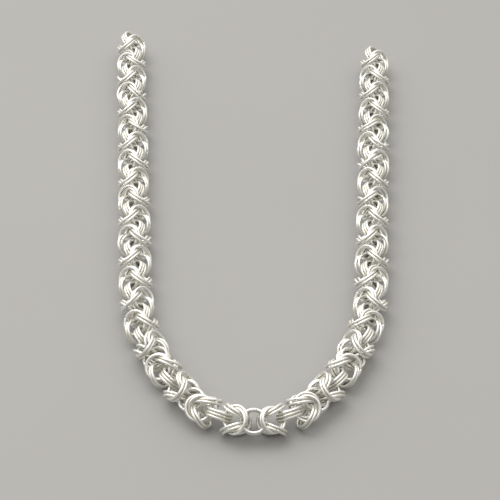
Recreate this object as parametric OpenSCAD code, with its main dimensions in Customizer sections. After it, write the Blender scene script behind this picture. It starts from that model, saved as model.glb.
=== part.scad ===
// A length of silver byzantine chain for a necklace, lying in a U on a flat surface.
// Millimetres, +Z up. The surface is z = 0, the front of the U faces -Y, and the
// origin is under the middle of the whole length.
//
// The weave repeats once every pitch. A connector of three rings side by side hangs
// in two knots. Each knot has four ears of two rings: the near pair leans out over
// the connector behind it, the far pair over the connector ahead, and the two pairs
// pass through each other. Each connector stands square to the one before it.

/* [Rings] */
// Thickness of the round wire
wire_d = 0.9; // [0.7:0.05:0.95]
// Inside width of every ring
ring_bore = 6.6; // [6.5:0.05:6.8]
// Rings side by side in a connector
connector_rings = 3; // [1:1:3]
// Rings side by side in an ear of a knot
ear_rings = 2; // [1:1:2]
// Step between rings side by side, as a share of the wire
ring_step = 0.95; // [0.9:0.01:0.98]

/* [Weave] */
// Length of chain from one connector to the next
pitch = 10.8; // [10.7:0.05:10.9]
// From a connector's middle to the middle of the ears that hang in it
ear_place = 5.65; // [5.6:0.05:5.75]
// From the middle of the chain to the middle of an ear
ear_out = 2.45; // [2.35:0.05:2.5]
// Angle at which an ear leans out over the next connector
ear_lean = 24; // [22:0.5:25]

/* [Length] */
// Connectors on the left leg, after the one at the middle of the front
left_links = 21; // [10:1:22]
// Connectors on the right leg, after the one at the middle of the front
right_links = 20; // [10:1:22]

/* [How it lies] */
// Roll of the chain, which rests on two ears of every knot at 45
roll = 45; // [40:1:45]
// Straight stretch on each side of the middle of the front
front_flat = 1.5; // [0:0.5:20]
// Radius of each corner of the front
front_radius = 20; // [20:1:40]
// Angle turned by each corner
front_turn = 50; // [45:1:60]
// Radius of the bend between a corner and a straight leg
shoulder_radius = 90; // [60:1:120]
// Angle turned from the middle of the front to a straight leg
leg_turn = 86.5; // [75:0.5:90]

/* [Play in the bend] */
// Shift of a connector along its own axis, times the bend in radians per millimetre
connector_play = 14; // [12:0.5:15]
// Shift of an ear to the inside of the bend, times the same
ear_play = 8; // [6:0.5:9]
// Distance from the middle of a knot to the place whose direction its ears take
ear_turn = 0.35; // [0:0.05:0.6]

/* [Hidden] */

silver = [0.86, 0.85, 0.82];
ring_r = (ring_bore + wire_d) / 2;
ring_facets = 64;
wire_facets = 24;
up = [0, 0, 1];

// Lengths of line at which the corner and the shoulder end, from the middle of the front
corner_end = front_flat + front_radius * front_turn * PI / 180;
shoulder_end = corner_end + shoulder_radius * (leg_turn - front_turn) * PI / 180;

// The line that the chain follows, at the distance s from the middle of the front:
// its direction, and its place
function turned(s) =
    s < front_flat ? 0 :
    s < corner_end ? (s - front_flat) / front_radius * 180 / PI :
    s < shoulder_end ? front_turn + (s - corner_end) / shoulder_radius * 180 / PI :
    leg_turn;
function heading(s) = s < 0 ? -turned(-s) : turned(s);

function arc_from(r, a, b) = r * [sin(b) - sin(a), cos(a) - cos(b)];
function half_line(s) =
    [min(s, front_flat), 0]
        + arc_from(front_radius, 0, min(turned(s), front_turn))
        + arc_from(shoulder_radius, front_turn, max(turned(s), front_turn))
        + max(0, s - shoulder_end) * [cos(leg_turn), sin(leg_turn)];
function place(s) =
    let (p = half_line(abs(s)))
    [s < 0 ? -p[0] : p[0], p[1], 0];

// Bend of the line over one pitch, in radians per millimetre
function bend(s) = (heading(s + pitch / 2) - heading(s - pitch / 2)) * PI / 180 / pitch;

// Directions at a heading: along the line, to the inside of the U, and square to the
// connectors that face out of the U and into it
function along(a) = [cos(a), sin(a), 0];
function inward(a) = [-sin(a), cos(a), 0];
function faces_out(a) = cos(roll) * up - sin(roll) * inward(a);
function faces_in(a) = sin(roll) * up + cos(roll) * inward(a);

// A group of rings side by side is [middle, axis, number of rings]
function is_even(k) = abs(k) % 2 == 0;
function connector(k) =
    let (
        s = k * pitch,
        axis = is_even(k) ? faces_out(heading(s)) : faces_in(heading(s)),
        side = is_even(k) ? -1 : 1
    )
    [place(s) + side * connector_play * bend(s) * axis, axis, connector_rings];

// An ear of the knot between connectors k and k + 1. It hangs in connector k + end,
// where end is 0 or 1, and leans out to one side or the other.
function ear(k, end, side) =
    let (
        way = 1 - 2 * end,
        s = (k + end) * pitch + way * ear_place,
        a = heading((k + 0.5) * pitch - way * ear_turn),
        out = is_even(k + end) ? faces_in(a) : faces_out(a)
    )
    [
        place(s) + ear_play * bend(s) * inward(a) + side * ear_out * out,
        side * cos(ear_lean) * out - way * sin(ear_lean) * along(a),
        ear_rings
    ];
function knot(k) = [for (end = [0, 1], side = [-1, 1]) ear(k, end, side)];

function connectors(first, last) = [for (k = [first:last]) connector(k)];
function knots(first, last) = [for (k = [first:last], g = knot(k)) g];

left_chain = concat(connectors(1 - left_links, 0), knots(-left_links, -1));
right_chain = concat(connectors(1, right_links - 1), knots(0, right_links - 1));
left_end = connector(-left_links);
right_end = connector(right_links);

// Size of the whole, from the true reach of each group along an axis of the frame
every_group = concat(left_chain, right_chain, [left_end, right_end]);
function reach(g, i) =
    ring_r * sqrt(1 - g[1][i] * g[1][i])
        + (g[2] - 1) / 2 * ring_step * wire_d * abs(g[1][i])
        + wire_d / 2;
function low(i) = min([for (g = every_group) g[0][i] - reach(g, i)]);
function high(i) = max([for (g = every_group) g[0][i] + reach(g, i)]);
origin = [(low(0) + high(0)) / 2, (low(1) + high(1)) / 2, low(2)];

// Rings side by side on the Z axis, touching along their flanks
module rings(count) {
    rotate_extrude($fn = ring_facets)
        for (i = [0:count - 1])
            translate([ring_r, (i - (count - 1) / 2) * ring_step * wire_d])
                circle(d = wire_d, $fn = wire_facets);
}

module lay(group) {
    axis = group[1];
    translate(group[0] - origin)
        rotate([0, acos(axis[2]), atan2(axis[1], axis[0])])
            rings(group[2]);
}

// Half of the chain, from the middle connector to the left leg's last knot
module chain_left() {
    color(silver)
        for (g = left_chain)
            lay(g);
}

// The other half, from the first knot on the right to the right leg's last knot
module chain_right() {
    color(silver)
        for (g = right_chain)
            lay(g);
}

// The last connectors, which a clasp's ring passes through
module end_link_left() {
    color(silver)
        lay(left_end);
}

module end_link_right() {
    color(silver)
        lay(right_end);
}

end_link_left();
chain_left();
chain_right();
end_link_right();
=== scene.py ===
"""Silver byzantine chain for a necklace, laid in a U on a pale floor.

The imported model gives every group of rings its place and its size. Here each group is parted into its
own jump rings. The rings tilt a little, as loose rings do, settle against each other and on the floor,
and each one becomes a bent length of drawn wire whose two ends meet at a fine saw cut.
"""

import functools
import math
from dataclasses import dataclass

import bpy
import numpy as np
from bpy.props import FloatProperty, FloatVectorProperty, IntProperty, PointerProperty
from bpy.types import Operator, Panel, PropertyGroup
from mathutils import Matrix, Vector


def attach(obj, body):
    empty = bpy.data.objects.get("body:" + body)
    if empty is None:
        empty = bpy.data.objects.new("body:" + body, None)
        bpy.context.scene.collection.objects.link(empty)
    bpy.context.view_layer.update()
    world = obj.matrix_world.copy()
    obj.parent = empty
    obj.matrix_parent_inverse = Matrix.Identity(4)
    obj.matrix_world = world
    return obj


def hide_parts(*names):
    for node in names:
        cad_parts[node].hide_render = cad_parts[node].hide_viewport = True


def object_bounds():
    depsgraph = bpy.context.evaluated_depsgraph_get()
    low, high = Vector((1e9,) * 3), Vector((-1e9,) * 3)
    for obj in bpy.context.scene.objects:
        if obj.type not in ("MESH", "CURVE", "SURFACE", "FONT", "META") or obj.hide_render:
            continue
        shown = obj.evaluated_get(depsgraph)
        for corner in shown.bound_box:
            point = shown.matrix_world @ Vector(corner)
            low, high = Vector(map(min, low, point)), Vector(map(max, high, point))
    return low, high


bl_info = {
    "name": "Byzantine Chain",
    "version": (1, 0, 0),
    "blender": (4, 5, 0),
    "location": "View3D > Sidebar > Chain",
    "description": "Settles and dresses the rings of a silver byzantine chain",
    "category": "Add Mesh",
}

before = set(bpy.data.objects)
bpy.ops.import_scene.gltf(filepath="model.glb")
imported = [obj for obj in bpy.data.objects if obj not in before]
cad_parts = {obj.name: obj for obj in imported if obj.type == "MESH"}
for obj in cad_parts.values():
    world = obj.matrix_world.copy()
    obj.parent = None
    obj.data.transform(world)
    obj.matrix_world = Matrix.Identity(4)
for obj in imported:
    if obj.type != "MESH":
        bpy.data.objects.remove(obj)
cad_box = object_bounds()

MM = 0.001
BAKE_MAP = "OFBake"

# What every point carries for the materials: its place in the wire, in millimetres, the tone of its ring,
# and how near another ring's wire is, which places the tarnish and painted shade in the crevices
WIRE_PLACE = "wire_place"
RING_TONE = "ring_tone"
TUCKED = "tucked"


class ChainLaySettings(PropertyGroup):
    """How the loose rings tilt and settle."""

    seed: IntProperty(name="Seed", description="Which way each ring happens to lie", default=4, min=0)
    extra_lean: FloatProperty(
        name="Extra lean",
        description="Lean of the ears beyond the one that the frame gives them",
        default=math.radians(9), subtype="ANGLE",
    )
    front_roll: FloatProperty(
        name="Front roll",
        description="Roll towards lying flat of the connectors that face out of the front of the U",
        default=math.radians(26), subtype="ANGLE",
    )
    ear_spread: FloatProperty(
        name="Ear spread", description="Usual tilt of an ear's ring before it settles",
        default=math.radians(6), subtype="ANGLE",
    )
    connector_spread: FloatProperty(
        name="Connector spread", description="Usual tilt of a connector's ring before it settles",
        default=math.radians(2), subtype="ANGLE",
    )
    shift: FloatProperty(
        name="Shift", description="Usual shift of a ring before it settles",
        default=0.06 * MM, unit="LENGTH",
    )
    steps: IntProperty(name="Steps", description="Steps of the settling", default=200, min=1)
    slack: FloatProperty(
        name="Slack",
        description="How far the free connectors at the ends are drawn out, if the knots let them",
        default=1.5 * MM, unit="LENGTH",
    )
    sink: FloatProperty(
        name="Sink", description="Distance that a free ring sinks in the first step",
        default=0.003 * MM, unit="LENGTH",
    )


class ChainWireSettings(PropertyGroup):
    """How each ring is bent and cut."""

    spans: IntProperty(name="Spans", description="Straight spans along a ring", default=46, min=12)
    sides: IntProperty(name="Sides", description="Sides of the wire's section", default=12, min=6)
    cut: FloatProperty(
        name="Saw cut", description="Gap left where the ends of a ring meet",
        default=0.03 * MM, unit="LENGTH",
    )
    rounding: FloatProperty(
        name="Rounding", description="Rounding of the edge at the saw cut",
        default=0.04 * MM, unit="LENGTH",
    )
    twist: FloatProperty(
        name="Twist", description="Usual step along the axis between the two ends of a ring",
        default=0.05 * MM, unit="LENGTH",
    )


class ChainSilverSettings(PropertyGroup):
    """Colours and finish of the silver."""

    silver: FloatVectorProperty(
        name="Silver", description="Colour of clean silver",
        default=(0.955, 0.962, 0.932), subtype="COLOR", size=3, min=0, max=1,
    )
    # Warm colour painted where wires meet: partly real tarnish, partly painted shade in the crevices
    # between rings
    tarnish_and_shade: FloatVectorProperty(
        name="Tarnish", description="Colour of the thin tarnish where wires meet",
        default=(0.57, 0.45, 0.25), subtype="COLOR", size=3, min=0, max=1,
    )
    tarnish_and_shade_amount: FloatProperty(
        name="Tarnish amount", description="Share of tarnish where wires touch",
        default=0.6, subtype="FACTOR", min=0, max=1,
    )
    polish: FloatProperty(
        name="Polish", description="Roughness of the drawn wire",
        default=0.38, subtype="FACTOR", min=0, max=1,
    )
    sawn: FloatProperty(
        name="Sawn", description="Roughness of a saw-cut end",
        default=0.42, subtype="FACTOR", min=0, max=1,
    )


class ChainStageSettings(PropertyGroup):
    """Floor, light and camera."""

    floor: FloatVectorProperty(
        name="Floor", description="Colour of the floor",
        default=(0.37, 0.363, 0.352), subtype="COLOR", size=3, min=0, max=1,
    )
    floor_width: FloatProperty(
        name="Floor width", description="Side of the square floor",
        default=6.0, unit="LENGTH",
    )
    room_light: FloatProperty(
        name="Room light", description="Strength of the room's light where it is brightest",
        default=1.52,
    )
    key_power: FloatProperty(
        name="Key power", description="Power of the large soft light on the left",
        default=4.0, unit="POWER",
    )
    fill_power: FloatProperty(
        name="Fill power", description="Power of the soft light on the right",
        default=0.4, unit="POWER",
    )
    camera_distance: FloatProperty(
        name="Camera distance", description="From the camera to the point that it looks at",
        default=0.6012, unit="LENGTH",
    )
    camera_angle: FloatProperty(
        name="Camera angle", description="Angle at which the camera looks down",
        default=math.radians(38.5), subtype="ANGLE",
    )
    camera_lens: FloatProperty(
        name="Focal length", description="Focal length on a 36 mm sensor, in millimetres",
        default=129.6, unit="CAMERA",
    )


class ChainSettings(PropertyGroup):
    """All settings of the chain."""

    lay: PointerProperty(type=ChainLaySettings)
    wire: PointerProperty(type=ChainWireSettings)
    silver: PointerProperty(type=ChainSilverSettings)
    stage: PointerProperty(type=ChainStageSettings)


def settings():
    """All settings of the chain in the open scene."""
    return bpy.context.scene.chain_settings


# Reading the rings from the frame

CONNECTOR_RINGS = 3
# Nodes whose connector is free on one side
FREE_NODES = ("end_link_left", "end_link_right")
# Points nearer to each other than this are one point of the frame's mesh
SAME_PLACE = 0.001 * MM
# Depth of the front of the U, and of the stretch behind it in which the front's roll fades
FRONT_DEPTH = 35 * MM
FRONT_FADE = 15 * MM
# Distance from the foremost point back to the middle of the front's bend
BEND_MIDDLE = 25 * MM


@dataclass
class RingGroup:
    """Rings side by side in the frame. The radius is that of the wire's middle line."""

    node: str
    middle: np.ndarray
    axis: np.ndarray
    radius: float
    thickness: float
    count: int


@dataclass
class Rings:
    """All rings of the chain, with one row of each array for a ring.

    Outward is the way out of the chain for the free connectors, and zero for every other ring."""

    centres: np.ndarray
    axes: np.ndarray
    nodes: np.ndarray
    is_ear: np.ndarray
    outward: np.ndarray
    radius: float
    thickness: float


def mesh_arrays(node):
    """Points of a CAD node's mesh, in metres, and its edges as pairs of point numbers."""
    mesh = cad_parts[node].data
    points = np.empty(3 * len(mesh.vertices), np.float32)
    mesh.vertices.foreach_get("co", points)
    edges = np.empty(2 * len(mesh.edges), np.int32)
    mesh.edges.foreach_get("vertices", edges)
    return points.reshape(-1, 3).astype(float), edges.reshape(-1, 2)


def loose_solids(points, edges):
    """The points of each loose solid, one array for a solid."""
    places, place_of = np.unique(
        np.round(points / SAME_PLACE).astype(np.int64), axis=0, return_inverse=True
    )
    place_of = place_of.ravel()
    links = place_of[edges]
    solid = np.arange(len(places))
    while True:
        lowest = solid.copy()
        np.minimum.at(lowest, links[:, 0], solid[links[:, 1]])
        np.minimum.at(lowest, links[:, 1], solid[links[:, 0]])
        lowest = lowest[lowest]
        if (lowest == solid).all():
            break
        solid = lowest
    solid = solid[place_of]
    order = np.argsort(solid, kind="stable")
    starts = np.flatnonzero(np.diff(solid[order])) + 1
    return [points[part] for part in np.split(order, starts)]


def read_group(node, points):
    """The rings side by side that one solid's points make up. Along their axis the points spread least."""
    middle = (points.min(0) + points.max(0)) / 2
    away = points - middle
    axis = np.linalg.eigh(away.T @ away)[1][:, 0]
    height = away @ axis
    out = np.linalg.norm(away - np.outer(height, axis), axis=1)
    thickness = np.ptp(out)
    radius = (out.max() + out.min()) / 2
    count = 1 + round((np.ptp(height) - thickness) / thickness)
    return RingGroup(node, middle, axis, radius, thickness, count)


def unit(vectors):
    """The same vectors with length one."""
    return vectors / np.linalg.norm(vectors, axis=-1, keepdims=True)


def leaned(axis, way, lean):
    """Axis of an ear, leaning further by an angle along the chain, whose way there is given."""
    return unit(axis + math.tan(lean) * np.sign(axis @ way) * way)


def rolled(axis, middle, roll):
    """Upward axis of a connector, turned towards upright if it faces out of the front of the U."""
    axis = axis * np.sign(axis[2])
    front = cad_box[0].y
    inward = np.array((0, front + BEND_MIDDLE, 0)) - middle
    if axis[:2] @ inward[:2] > 0:
        return axis
    share = np.clip((front + FRONT_DEPTH + FRONT_FADE - middle[1]) / FRONT_FADE, 0, 1)
    upward = unit(np.array((0, 0, 1)) - axis[2] * axis)
    return unit(axis + math.tan(roll * share) * upward)


def read_rings(lay):
    """Every ring of the frame, with the ears' extra lean and the front's roll."""
    groups = [
        read_group(node, points)
        for node in sorted(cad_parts)
        for points in loose_solids(*mesh_arrays(node))
    ]
    radius = float(np.mean([group.radius for group in groups]))
    thickness = float(np.mean([group.thickness for group in groups]))
    connectors = np.array([group.middle for group in groups if group.count == CONNECTOR_RINGS])
    rows = []
    for group in groups:
        nearest, next_one = np.argsort(np.linalg.norm(connectors - group.middle, axis=1))[:2]
        way = unit(connectors[next_one] - connectors[nearest])
        is_ear = group.count < CONNECTOR_RINGS
        if is_ear:
            axis = leaned(group.axis, way, lay.extra_lean)
        else:
            axis = rolled(group.axis, group.middle, lay.front_roll)
        outward = -way if group.node in FREE_NODES else 0 * way
        for i in range(group.count):
            centre = group.middle + (i - (group.count - 1) / 2) * thickness * axis
            rows.append((centre, axis, group.node, is_ear, outward))
    columns = [np.array(column) for column in zip(*rows)]
    return Rings(*columns, radius, thickness)


# Settling the rings

# Most that a ring moves in one step, and most that it turns, in radians
LARGEST_MOVE = 0.12 * MM
LARGEST_TURN = 0.05
# Share of the way back to its place in the frame, and to its axis there, that a ring is pulled in the
# first step
CONNECTOR_HOLD = 0.05
EAR_HOLD = 0.02
CONNECTOR_SPRING = 0.06
EAR_SPRING = 0.02
# Share of what a ring is past the floor or the ceiling that one step takes back
BACK_SHARE = 0.5
# Points of a ring that are tested against other rings
TOUCH_POINTS = 40
# Push from the mean overlap of a ring's touching points, and the fewest points that the mean counts
PUSH = 2.0
FEWEST_TOUCHES = 4
# Gap between wires up to which a pair of rings is tested, and steps until the pairs are found again
PAIR_REACH = 0.6 * MM
STEPS_BETWEEN_PAIRS = 20
# Height from which an axis of length one counts as upright
NEARLY_UPRIGHT = 0.9
# Least length to divide by
LEAST = 1e-12


def ring_sides(axes):
    """Two directions in the plane of each ring, square to each other."""
    off_axis = np.where(np.abs(axes[:, 2:]) < NEARLY_UPRIGHT, [[0, 0, 1.0]], [[1.0, 0, 0]])
    first = unit(np.cross(off_axis, axes))
    return first, np.cross(axes, first)


def ring_points(rings):
    """Points spread evenly on the middle line of each ring's wire."""
    turn = np.linspace(0, 2 * np.pi, TOUCH_POINTS, endpoint=False)[None, :, None]
    first, second = ring_sides(rings.axes)
    return rings.centres[:, None] + rings.radius * (
        np.cos(turn) * first[:, None] + np.sin(turn) * second[:, None]
    )


def from_ring(points, centres, axes, radius):
    """For each point, the vector to it from the nearest place on the middle line of a ring."""
    away = points - centres[:, None]
    height = (away * axes[:, None]).sum(2, keepdims=True)
    flat = away - height * axes[:, None]
    out = np.linalg.norm(flat, axis=2, keepdims=True) + LEAST
    return flat * (1 - radius / out) + height * axes[:, None]


def near_pairs(rings):
    """Pairs of different rings whose wires may be within reach of each other, each pair both ways."""
    apart = np.linalg.norm(rings.centres[:, None] - rings.centres[None], axis=2)
    near = apart < 2 * rings.radius + rings.thickness + PAIR_REACH
    np.fill_diagonal(near, False)
    return np.nonzero(near)


def shortened(vectors, longest):
    """The same vectors, none longer than the given length."""
    length = np.linalg.norm(vectors, axis=1, keepdims=True)
    return vectors * np.minimum(1, longest / np.maximum(length, LEAST))


def pushes(rings, first, second):
    """Move and turn of each ring in one step from the wires that it overlaps, for these pairs of rings."""
    points = ring_points(rings)[first]
    gap = from_ring(points, rings.centres[second], rings.axes[second], rings.radius)
    length = np.linalg.norm(gap, axis=2)
    overlap = rings.thickness - length
    pair, place = np.nonzero(overlap > 0)
    gap = gap[pair, place]
    push = gap * (overlap / np.maximum(length, LEAST))[pair, place, None]
    touch = points[pair, place]
    move = np.zeros_like(rings.centres)
    turn = np.zeros_like(rings.centres)
    touches = np.zeros(len(rings.centres))
    for ring, force, spot in ((first[pair], push, touch), (second[pair], -push, touch - gap)):
        np.add.at(move, ring, force)
        np.add.at(turn, ring, np.cross(spot - rings.centres[ring], force))
        np.add.at(touches, ring, 1)
    share = PUSH / np.maximum(touches, FEWEST_TOUCHES)[:, None]
    return move * share, turn * share / rings.radius**2


def half_heights(rings):
    """Half the height of each ring, wire included."""
    return rings.radius * np.sqrt(np.maximum(0, 1 - rings.axes[:, 2] ** 2)) + rings.thickness / 2


def settle(rings, lay):
    """Tilts every ring a little, then lets the rings push each other clear and sink to the floor.

    The pull back to the frame's places fades, so that the last steps only part what still overlaps."""
    chance = np.random.default_rng(lay.seed)
    ceiling = cad_box[1].z
    home = rings.centres + lay.slack * rings.outward
    home_axes = rings.axes
    spread = np.where(rings.is_ear, lay.ear_spread, lay.connector_spread)[:, None]
    hold = np.where(rings.is_ear, EAR_HOLD, CONNECTOR_HOLD)[:, None]
    spring = np.where(rings.is_ear, EAR_SPRING, CONNECTOR_SPRING)[:, None]
    rings.axes = unit(home_axes + spread * chance.normal(size=home_axes.shape))
    rings.centres = rings.centres + lay.shift * chance.normal(size=home.shape)
    for step in range(lay.steps):
        if step % STEPS_BETWEEN_PAIRS == 0:
            first, second = near_pairs(rings)
        fade = (1 - step / lay.steps) ** 2
        move, turn = pushes(rings, first, second)
        half = half_heights(rings)
        move[:, 2] += BACK_SHARE * np.maximum(0, half - rings.centres[:, 2])
        move[:, 2] -= BACK_SHARE * np.maximum(0, rings.centres[:, 2] + half - ceiling)
        move[:, 2] -= lay.sink * fade
        move += hold * fade * (home - rings.centres)
        turn += spring * fade * np.cross(rings.axes, home_axes)
        rings.centres = rings.centres + shortened(move, LARGEST_MOVE)
        rings.axes = unit(rings.axes + np.cross(shortened(turn, LARGEST_TURN), rings.axes))
    rings.centres[:, 2] += np.maximum(0, half_heights(rings) - rings.centres[:, 2])
    return rings


@functools.cache
def settled_rings():
    """The rings of the whole chain as they come to lie, worked out once."""
    lay = settings().lay
    return settle(read_rings(lay), lay)


# Bending the wire

# Gap, in wires, at which the tarnish and painted shade begin between two wires
TUCKED_REACH = 0.75
# Share of a ring's cell in the bake map that is left free along each edge
CELL_MARGIN = 0.06
# Share of the rest of the cell's length that the flank takes up, beside the two ends of the wire
FLANK_SHARE = 0.93
# Share of their room that the two ends fill, each in its own half of the cell's height
END_FILL = 0.8


def section(sides):
    """Points evenly round a circle of radius one, one for each side of the wire."""
    turn = np.arange(sides) * 2 * np.pi / sides
    return np.stack((np.cos(turn), np.sin(turn)), axis=-1)


def wire_stations(rings, wire):
    """Turn and half thickness at each station along a ring, from one side of its saw cut to the other."""
    half_cut = wire.cut / 2 / rings.radius
    rounding = wire.rounding / rings.radius
    turns = np.linspace(half_cut + rounding, 2 * np.pi - half_cut - rounding, wire.spans + 1)
    turns = np.concatenate(([half_cut], turns, [2 * np.pi - half_cut]))
    half = np.full(len(turns), rings.thickness / 2)
    half[[0, -1]] -= wire.rounding
    return turns, half


def bent_rings(rings, members, wire):
    """Points of one piece by ring, station and side, their places in the wire, and each ring's tone.

    A place is the same in every ring: how far along the wire, and out and up from its middle line."""
    chance = np.random.default_rng(members[0] + 1)
    turns, half = wire_stations(rings, wire)
    across, up = section(wire.sides).T
    start = chance.uniform(0, 2 * np.pi, len(members))
    step = wire.twist * chance.normal(size=len(members))
    first, second = ring_sides(rings.axes[members])
    turn = (turns + start[:, None])[..., None]
    outward = np.cos(turn) * first[:, None] + np.sin(turn) * second[:, None]
    lift = step[:, None] * (turns / (2 * np.pi) - 0.5)
    axis = rings.axes[members][:, None]
    line = rings.centres[members][:, None] + rings.radius * outward + lift[..., None] * axis
    flank = across[:, None] * outward[:, :, None] + up[:, None] * axis[:, :, None]
    points = line[:, :, None] + half[:, None, None] * flank
    along = np.broadcast_to((turns * rings.radius)[:, None], (len(turns), wire.sides))
    place = np.stack((along, half[:, None] * across, half[:, None] * up), axis=-1) / MM
    tone = chance.uniform(0, 1, len(members))
    return points, place, tone


def tucked_in(rings, members, points):
    """For each point, from 0 to 1 how near another ring's wire is."""
    first, second = near_pairs(rings)
    tucked = []
    for ring, own in zip(members, points.reshape(len(members), 1, -1, 3)):
        others = second[first == ring]
        gap = from_ring(own, rings.centres[others], rings.axes[others], rings.radius)
        near = 1 - (np.linalg.norm(gap, axis=2) - rings.thickness / 2) / (TUCKED_REACH * rings.thickness)
        tucked.append(np.clip(near, 0, 1).max(axis=0, initial=0))
    return np.array(tucked)


def flank_corners(stations, sides):
    """Station and side at each corner of the quads along one ring."""
    station, side = np.meshgrid(np.arange(stations - 1), np.arange(sides), indexing="ij")
    along = np.stack((station, station, station + 1, station + 1), axis=-1).reshape(-1, 4)
    around = np.stack((side, side + 1, side + 1, side), axis=-1).reshape(-1, 4)
    return along, around


def bake_cells(rings, count):
    """Low corners and size of the rings' places in the bake map, in cells as long and narrow as a flank."""
    length = 2 * np.pi * rings.radius
    girth = np.pi * rings.thickness
    columns = max(1, round(math.sqrt(count * girth / length)))
    rows = math.ceil(count / columns)
    cell = np.array([1 / columns, 1 / rows])
    corners = np.array([[i % columns, i // columns] for i in range(count)]) * cell
    return corners + cell * CELL_MARGIN, cell * (1 - 2 * CELL_MARGIN)


def bake_map(rings, count, stations, sides):
    """Places in the bake map for the corners of all flanks, and then of all ends."""
    along, around = flank_corners(stations, sides)
    flank = np.stack((along / (stations - 1) * FLANK_SHARE, around / sides), axis=-1)
    half_room = np.array([(1 - FLANK_SHARE) / 2, 1 / 4])
    disc = section(sides) * (END_FILL * half_room)
    middles = [1 - half_room[0], 1 / 4], [1 - half_room[0], 3 / 4]
    ends = np.stack((middles[0] + disc[::-1], middles[1] + disc))
    low, size = bake_cells(rings, count)
    return np.concatenate([(low[:, None, None] + part * size).reshape(-1, 2) for part in (flank, ends)])


def wire_mesh(name, rings, points):
    """Mesh of one piece's rings: the flanks in drawn silver, the ends in sawn silver, and the bake map."""
    count, stations, sides = points.shape[:3]
    along, around = flank_corners(stations, sides)
    one_flank = along * sides + around % sides
    two_ends = np.stack((np.arange(sides)[::-1], np.arange(sides) + (stations - 1) * sides))
    first_point = np.arange(count)[:, None, None] * stations * sides
    flanks = (first_point + one_flank).reshape(-1, 4).tolist()
    ends = (first_point + two_ends).reshape(-1, sides).tolist()
    mesh = bpy.data.meshes.new(name)
    mesh.from_pydata(points.reshape(-1, 3).tolist(), [], flanks + ends)
    for material in ring_materials():
        mesh.materials.append(material)
    is_end = np.arange(len(flanks) + len(ends)) >= len(flanks)
    mesh.polygons.foreach_set("use_smooth", ~is_end)
    mesh.polygons.foreach_set("material_index", is_end.astype(np.int32))
    places = bake_map(rings, count, stations, sides)
    mesh.uv_layers.new(name=BAKE_MAP).data.foreach_set("uv", places.astype(np.float32).ravel())
    return mesh


def carry(mesh, name, kind, values):
    """Gives each point of a mesh its number or vector, which materials read by name."""
    field = "vector" if kind == "FLOAT_VECTOR" else "value"
    data = mesh.attributes.new(name, kind, "POINT").data
    data.foreach_set(field, np.ascontiguousarray(values, np.float32).ravel())


# Node helpers


def group_of(name, inputs, outputs):
    """A new shader group with these sockets, and its input and output nodes."""
    group = bpy.data.node_groups.new(name, "ShaderNodeTree")
    for way, sockets in (("INPUT", inputs), ("OUTPUT", outputs)):
        for label, kind in sockets:
            group.interface.new_socket(label, in_out=way, socket_type=kind)
    return group, group.nodes.new("NodeGroupInput"), group.nodes.new("NodeGroupOutput")


def feed(tree, socket, value):
    """Gives a socket its value, which is another socket or a plain value."""
    if isinstance(value, bpy.types.NodeSocket):
        tree.links.new(value, socket)
    else:
        socket.default_value = value


def placed(tree, group, **inputs):
    """A group node in a material, with its inputs."""
    node = tree.nodes.new("ShaderNodeGroup")
    node.node_tree = group
    for label, value in inputs.items():
        feed(tree, node.inputs[label], value)
    return node


def math_node(tree, operation, *values, clamp=False):
    """Output of a Math node on these values."""
    node = tree.nodes.new("ShaderNodeMath")
    node.operation = operation
    node.use_clamp = clamp
    for socket, value in zip(node.inputs, values):
        feed(tree, socket, value)
    return node.outputs[0]


def vector_node(tree, operation, output, *values):
    """Output of a Vector Math node on these values."""
    node = tree.nodes.new("ShaderNodeVectorMath")
    node.operation = operation
    for socket, value in zip(node.inputs, values):
        feed(tree, socket, value)
    return node.outputs[output]


def noise(tree, vector, scale, detail, roughness=0.5, shift=None):
    """Output of a noise. A shift, where there is one, picks another stretch of it."""
    node = tree.nodes.new("ShaderNodeTexNoise")
    for label, number in (("Scale", scale), ("Detail", detail), ("Roughness", roughness)):
        node.inputs[label].default_value = number
    feed(tree, node.inputs["Vector"], vector)
    if shift is not None:
        node.noise_dimensions = "4D"
        feed(tree, node.inputs["W"], shift)
    return node.outputs["Fac"]


def ranged(tree, value, low=0.0, high=1.0, to_low=0.0, to_high=1.0, smooth=False):
    """Output of a value carried from one range to another."""
    node = tree.nodes.new("ShaderNodeMapRange")
    node.interpolation_type = "SMOOTHSTEP" if smooth else "LINEAR"
    feed(tree, node.inputs["Value"], value)
    for label, number in (
        ("From Min", low), ("From Max", high), ("To Min", to_low), ("To Max", to_high),
    ):
        node.inputs[label].default_value = number
    return node.outputs["Result"]


def mixed(tree, factor, first, second):
    """Output of two colours mixed by a factor."""
    node = tree.nodes.new("ShaderNodeMix")
    node.data_type = "RGBA"
    feed(tree, node.inputs["Factor"], factor)
    colours = [socket for socket in node.inputs if socket.type == "RGBA"]
    for socket, value in zip(colours, (first, second)):
        feed(tree, socket, value)
    return [socket for socket in node.outputs if socket.type == "RGBA"][0]


def attribute(tree, name, output="Fac"):
    """Output that reads what the mesh carries under this name."""
    node = tree.nodes.new("ShaderNodeAttribute")
    node.attribute_name = name
    return node.outputs[output]


def new_material(name):
    """A new material, its nodes and links, and its shader."""
    material = bpy.data.materials.new(name)
    material.use_nodes = True
    return material, material.node_tree, material.node_tree.nodes["Principled BSDF"]


# Effects shared by the silver materials

# Stretch that gives nicks their slant, along the wire, out and up
NICK_STRETCH = (2.6, 1.1, 4.5)
# How steeply the tarnish and painted shade grow towards another wire
TARNISH_AND_SHADE_POWER = 1.5
# Share of the tarnish and painted shade left where handling rubs the most
RUBBED_TARNISH_AND_SHADE = 0.7
# Tarnish all over the warmest ring
RING_VEIL = 0.06


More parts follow.
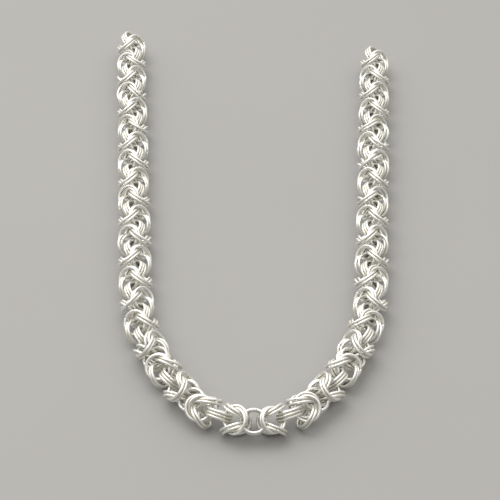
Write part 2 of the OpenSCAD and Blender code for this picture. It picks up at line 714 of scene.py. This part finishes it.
@functools.cache
def drawn_lines():
    """Fine lines: noise stretched along one way of the metal."""
    group, given, made = group_of(
        "Drawn lines",
        (
            ("Place", "NodeSocketVector"),
            ("Stretch", "NodeSocketVector"),
            ("Shift", "NodeSocketFloat"),
        ),
        (("Height", "NodeSocketFloat"),),
    )
    place = vector_node(group, "MULTIPLY", "Vector", given.outputs["Place"], given.outputs["Stretch"])
    height = noise(group, place, scale=1.0, detail=4.0, roughness=0.6, shift=given.outputs["Shift"])
    feed(group, made.inputs["Height"], height)
    return group


@functools.cache
def handling_marks():
    """Soft rubs and small nicks from wear and handling."""
    group, given, made = group_of(
        "Handling marks",
        (("Place", "NodeSocketVector"), ("Shift", "NodeSocketFloat")),
        (("Rub", "NodeSocketFloat"), ("Nick", "NodeSocketFloat")),
    )
    place, shift = given.outputs["Place"], given.outputs["Shift"]
    rub = noise(group, place, scale=0.7, detail=2.0, shift=shift)
    feed(group, made.inputs["Rub"], ranged(group, rub, low=0.35, high=0.65, smooth=True))
    slanted = vector_node(group, "MULTIPLY", "Vector", place, NICK_STRETCH)
    nick = noise(group, slanted, scale=1.6, detail=2.0, roughness=0.7, shift=shift)
    feed(group, made.inputs["Nick"], ranged(group, nick, low=0.62, high=0.72, smooth=True))
    return group


@functools.cache
def silver_tone():
    """Colour of silver: a little different from ring to ring, with warm tarnish and painted shade where
    wires meet.
    """
    group, given, made = group_of(
        "Silver tone",
        (
            ("Silver", "NodeSocketColor"),
            ("Tarnish", "NodeSocketColor"),
            ("Amount", "NodeSocketFloat"),
            ("Tucked", "NodeSocketFloat"),
            ("Rub", "NodeSocketFloat"),
            ("Tone", "NodeSocketFloat"),
        ),
        (("Colour", "NodeSocketColor"), ("Tarnish and shade share", "NodeSocketFloat")),
    )
    remaining = ranged(group, given.outputs["Rub"], to_low=1.0, to_high=RUBBED_TARNISH_AND_SHADE)
    # Painted shade in the crevices, partly real tarnish: the nearer another wire, the more of the warm
    # colour
    shade = math_node(group, "POWER", given.outputs["Tucked"], TARNISH_AND_SHADE_POWER)
    tarnish_and_shade_share = math_node(group, "MULTIPLY", shade, remaining)
    veil = ranged(group, given.outputs["Tone"], to_high=RING_VEIL)
    share = math_node(group, "MULTIPLY_ADD", tarnish_and_shade_share, given.outputs["Amount"], veil, clamp=True)
    colour = mixed(group, share, given.outputs["Silver"], given.outputs["Tarnish"])
    feed(group, made.inputs["Colour"], colour)
    feed(group, made.inputs["Tarnish and shade share"], tarnish_and_shade_share)
    return group


# Finish of the silver

# Stretch of the fine lines along the wire, out and up, and their strength, on the flank and on a sawn end
DRAWN_STRETCH = (0.25, 7.0, 7.0)
SAWN_STRETCH = (2.0, 3.0, 26.0)
DRAWN_STRENGTH = 0.5
SAWN_STRENGTH = 0.9
# Depth of the finest lines in the metal, and depth of a nick as a share of it
LINE_DEPTH = 0.006 * MM
NICK_SHARE = 0.6
# How far apart in the noise the first tone and the last are, so that the rings differ
TONE_SHIFT = 90.0
# Roughness that the lines add at their lowest and at their highest
LINE_ROUGHNESS = (-0.04, 0.05)
# Roughness that a full rub and the full mask of tarnish and painted shade add
RUB_ROUGHNESS = 0.05
TARNISH_ROUGHNESS = 0.12


def silver_material(name, roughness, stretch, strength):
    """Silver with drawn or sawn lines, handling marks, and tarnish and painted shade where wires meet."""
    silver = settings().silver
    material, tree, shader = new_material(name)
    place = attribute(tree, WIRE_PLACE, "Vector")
    tone = attribute(tree, RING_TONE)
    shift = math_node(tree, "MULTIPLY", tone, TONE_SHIFT)
    lines = placed(tree, drawn_lines(), Place=place, Stretch=stretch, Shift=shift)
    lines = lines.outputs["Height"]
    marks = placed(tree, handling_marks(), Place=place, Shift=shift)
    # Warm colour where wires meet: tarnish, and painted shade in the crevices between rings
    colour = placed(
        tree, silver_tone(),
        Silver=(*silver.silver, 1), Tarnish=(*silver.tarnish_and_shade, 1), Amount=silver.tarnish_and_shade_amount,
        Tucked=attribute(tree, TUCKED), Rub=marks.outputs["Rub"], Tone=tone,
    )
    feed(tree, shader.inputs["Base Color"], colour.outputs["Colour"])
    shader.inputs["Metallic"].default_value = 1.0

    smoothest, roughest = (roughness + more for more in LINE_ROUGHNESS)
    rough = ranged(tree, lines, low=0.3, high=0.7, to_low=smoothest, to_high=roughest)
    rough = math_node(tree, "MULTIPLY_ADD", marks.outputs["Rub"], RUB_ROUGHNESS, rough)
    rough = math_node(tree, "MULTIPLY_ADD", colour.outputs["Tarnish and shade share"], TARNISH_ROUGHNESS, rough)
    feed(tree, shader.inputs["Roughness"], rough)

    bump = tree.nodes.new("ShaderNodeBump")
    bump.inputs["Strength"].default_value = strength
    bump.inputs["Distance"].default_value = LINE_DEPTH
    height = math_node(tree, "MULTIPLY_ADD", marks.outputs["Nick"], -NICK_SHARE, lines)
    feed(tree, bump.inputs["Height"], height)
    feed(tree, shader.inputs["Normal"], bump.outputs["Normal"])
    return material


@functools.cache
def ring_materials():
    """The finish of a ring's flank, and of its saw-cut ends."""
    silver = settings().silver
    return (
        silver_material("drawn_silver", silver.polish, DRAWN_STRETCH, DRAWN_STRENGTH),
        silver_material("sawn_silver", silver.sawn, SAWN_STRETCH, SAWN_STRENGTH),
    )


# Pieces

SIDES = ("left", "right")


def add_rings(name, node, ears):
    """One piece of the ears or of the connectors that the frame has in one of its nodes."""
    rings = settled_rings()
    members = np.flatnonzero((rings.nodes == node) & (rings.is_ear == ears))
    if not len(members):
        raise RuntimeError(f"the frame has no rings for {name} in {node}")
    points, place, tone = bent_rings(rings, members, settings().wire)
    mesh = wire_mesh(name, rings, points)
    carry(mesh, WIRE_PLACE, "FLOAT_VECTOR", np.broadcast_to(place, points.shape))
    carry(mesh, RING_TONE, "FLOAT", np.broadcast_to(tone[:, None, None], points.shape[:3]))
    # Nearness to other rings' wires: where the tarnish and painted shade go
    carry(mesh, TUCKED, "FLOAT", tucked_in(rings, members, points))
    mesh.update()
    mesh.validate()
    piece = bpy.data.objects.new(name, mesh)
    bpy.context.scene.collection.objects.link(piece)
    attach(piece, "root")
    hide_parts(node)


class CHAIN_OT_add_connectors(Operator):
    """Add the bundles of three rings, one piece for each half of the chain"""

    bl_idname = "chain.add_connectors"
    bl_label = "Add Connectors"

    def execute(self, context):
        for side in SIDES:
            add_rings(f"connectors_{side}", f"chain_{side}", ears=False)
        return {"FINISHED"}


class CHAIN_OT_add_ears(Operator):
    """Add the ears of all knots, one piece for each half of the chain"""

    bl_idname = "chain.add_ears"
    bl_label = "Add Ears"

    def execute(self, context):
        for side in SIDES:
            add_rings(f"ears_{side}", f"chain_{side}", ears=True)
        return {"FINISHED"}


class CHAIN_OT_add_last_connectors(Operator):
    """Add the free connectors at the two ends"""

    bl_idname = "chain.add_last_connectors"
    bl_label = "Add Last Connectors"

    def execute(self, context):
        for side in SIDES:
            add_rings(f"last_connector_{side}", f"end_link_{side}", ears=False)
        return {"FINISHED"}


# Stage, with places and sizes in metres

# What the camera looks at, and the width of its sensor in millimetres
CAMERA_AIM = (-0.0008, -0.0167, 0)
SENSOR_WIDTH = 36
# Place of each soft light, side of its square, and what both face
KEY_PLACE = (-0.38, 0.22, 0.85)
KEY_SIZE = 0.9
FILL_PLACE = (0.5, -0.75, 0.6)
FILL_SIZE = 0.6
LIGHT_AIM = (0, 0, 0)
# Colour of the room's light, and the way from which it is brightest
ROOM_COLOUR = (1.0, 0.985, 0.96, 1)
BRIGHTEST_WAY = (-0.1, 0.36, 0.93)
# Light from 90 degrees off that way and from beyond, as a share of the brightest
DIMMEST_SHARE = 0.1
# Darkest spots of the floor as a share of its colour, and how rough and how shiny it is
FLOOR_MOTTLE = 0.965
FLOOR_ROUGHNESS = 0.8
FLOOR_SPECULAR = 0.25


def add_facing(obj, place, aim):
    """Adds a light or the camera to the scene at a place, facing the point aim."""
    obj.location = place
    obj.rotation_euler = (Vector(aim) - Vector(place)).to_track_quat("-Z", "Y").to_euler()
    bpy.context.scene.collection.objects.link(obj)


def add_light(name, place, size, power):
    """A large square light that faces the chain."""
    light = bpy.data.lights.new(name, "AREA")
    light.shape = "SQUARE"
    light.size = size
    light.energy = power
    add_facing(bpy.data.objects.new(name, light), place, LIGHT_AIM)


def add_room_light(strength):
    """Light from all round, brightest overhead and dim near the horizon."""
    world = bpy.data.worlds.new("room")
    world.use_nodes = True
    tree = world.node_tree
    background = tree.nodes["Background"]
    background.inputs["Color"].default_value = ROOM_COLOUR
    way = tree.nodes.new("ShaderNodeTexCoord").outputs["Generated"]
    towards = vector_node(tree, "DOT_PRODUCT", "Value", way, BRIGHTEST_WAY)
    light = ranged(tree, towards, to_low=DIMMEST_SHARE * strength, to_high=strength)
    feed(tree, background.inputs["Strength"], light)
    bpy.context.scene.world = world


def floor_material(colour):
    """Plain pale matt floor with the faintest mottling."""
    material, tree, shader = new_material("pale_floor")
    place = tree.nodes.new("ShaderNodeTexCoord").outputs["Object"]
    darker = [FLOOR_MOTTLE * part for part in colour]
    mottled = mixed(tree, noise(tree, place, scale=9.0, detail=4.0), (*darker, 1), (*colour, 1))
    feed(tree, shader.inputs["Base Color"], mottled)
    shader.inputs["Roughness"].default_value = FLOOR_ROUGHNESS
    shader.inputs["Specular IOR Level"].default_value = FLOOR_SPECULAR
    return material


def add_floor(stage):
    """The floor under the chain, at height zero."""
    half = stage.floor_width / 2
    mesh = bpy.data.meshes.new("floor")
    corners = [(x * half, y * half, 0) for x, y in ((-1, -1), (1, -1), (1, 1), (-1, 1))]
    mesh.from_pydata(corners, [], [(0, 1, 2, 3)])
    mesh.materials.append(floor_material(stage.floor))
    floor = bpy.data.objects.new("floor", mesh)
    bpy.context.scene.collection.objects.link(floor)


def add_camera(stage):
    """The camera, at the photograph's angle."""
    camera = bpy.data.cameras.new("camera")
    camera.lens = stage.camera_lens
    camera.sensor_width = SENSOR_WIDTH
    down = stage.camera_angle
    away = stage.camera_distance * Vector((0, -math.cos(down), math.sin(down)))
    obj = bpy.data.objects.new("camera", camera)
    add_facing(obj, Vector(CAMERA_AIM) + away, CAMERA_AIM)
    bpy.context.scene.camera = obj


class CHAIN_OT_add_stage(Operator):
    """Add the floor, the lights and the camera"""

    bl_idname = "chain.add_stage"
    bl_label = "Add Stage"

    def execute(self, context):
        stage = settings().stage
        add_floor(stage)
        add_room_light(stage.room_light)
        add_light("key", KEY_PLACE, KEY_SIZE, stage.key_power)
        add_light("fill", FILL_PLACE, FILL_SIZE, stage.fill_power)
        add_camera(stage)
        context.scene.view_settings.view_transform = "Standard"
        return {"FINISHED"}


# Panel and registration

OPERATORS = (
    CHAIN_OT_add_connectors,
    CHAIN_OT_add_ears,
    CHAIN_OT_add_last_connectors,
    CHAIN_OT_add_stage,
)
SETTING_GROUPS = ("lay", "wire", "silver", "stage")


class CHAIN_PT_panel(Panel):
    """Settings and steps of the chain"""

    bl_idname = "CHAIN_PT_panel"
    bl_label = "Byzantine Chain"
    bl_space_type = "VIEW_3D"
    bl_region_type = "UI"
    bl_category = "Chain"

    def draw(self, context):
        for name in SETTING_GROUPS:
            box = self.layout.box()
            group = getattr(settings(), name)
            for label in group.bl_rna.properties.keys():
                if label not in ("rna_type", "name"):
                    box.prop(group, label)
        for operator in OPERATORS:
            self.layout.operator(operator.bl_idname)


CLASSES = (
    ChainLaySettings,
    ChainWireSettings,
    ChainSilverSettings,
    ChainStageSettings,
    ChainSettings,
    *OPERATORS,
    CHAIN_PT_panel,
)


def register():
    for cls in CLASSES:
        bpy.utils.register_class(cls)
    bpy.types.Scene.chain_settings = PointerProperty(type=ChainSettings)


def unregister():
    del bpy.types.Scene.chain_settings
    for cls in reversed(CLASSES):
        bpy.utils.unregister_class(cls)


def main():
    """Registers the classes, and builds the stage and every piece."""
    register()
    bpy.ops.chain.add_stage()
    bpy.ops.chain.add_connectors()
    bpy.ops.chain.add_ears()
    bpy.ops.chain.add_last_connectors()


if __name__ == "__main__":
    main()
